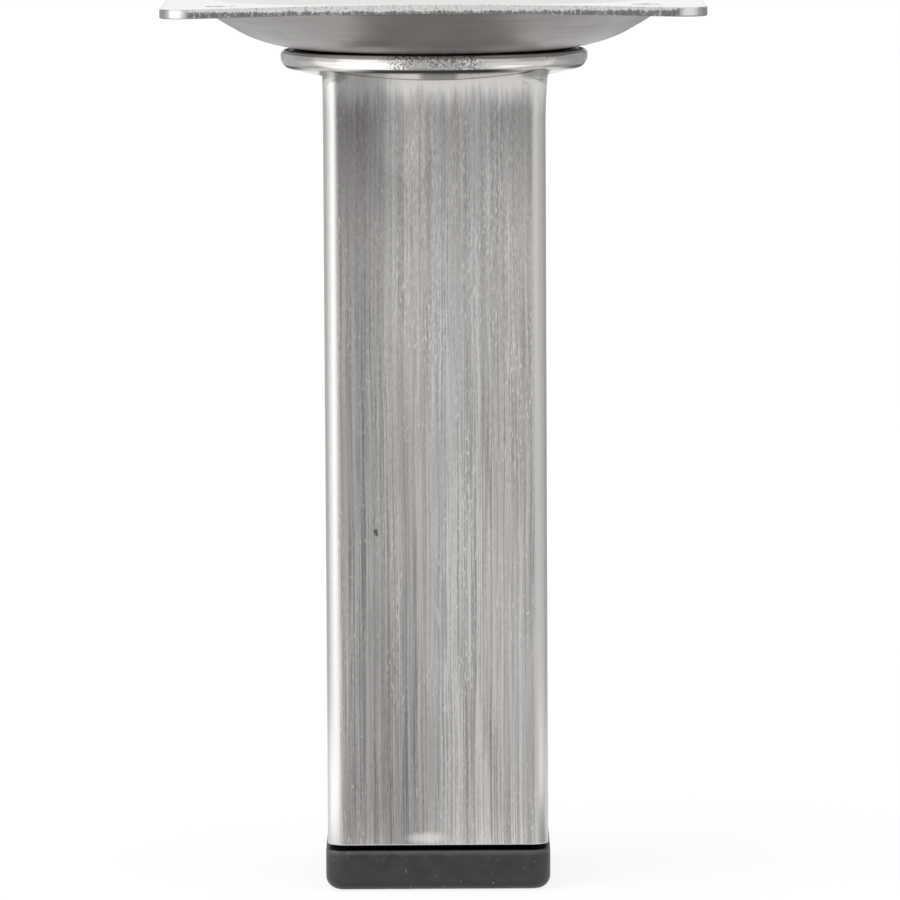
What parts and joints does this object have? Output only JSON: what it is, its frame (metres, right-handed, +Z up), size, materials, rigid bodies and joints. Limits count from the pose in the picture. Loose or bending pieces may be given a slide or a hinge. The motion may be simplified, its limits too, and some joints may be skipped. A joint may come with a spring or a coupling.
{
  "type": "table leg",
  "caption": "Short square brushed steel furniture leg with a dished square mounting plate, a round collar and a dark plastic foot cap.",
  "frame": {"origin": "middle of the foot cap's underside, where the leg stands on the floor", "axes": "+Z up the leg to the mounting plate, +X and +Y square to the tube's sides, front towards -Y"},
  "size_m": [0.0914, 0.0914, 0.153],
  "materials": {
    "plated_sheet": "satin nickel plated",
    "brushed_tube": "brushed lengthwise",
    "zinc_fastener": "bright zinc plated",
    "dark_plastic": "satin moulded"
  },
  "bodies": {
    "root": {"mounting_plate": "plated_sheet", "collar": "plated_sheet", "leg_tube": "brushed_tube", "foot_cap": "dark_plastic", "fixing_bolt": "zinc_fastener", "flat_washer": "zinc_fastener", "weld_nut": "zinc_fastener"}
  },
  "joints": []
}
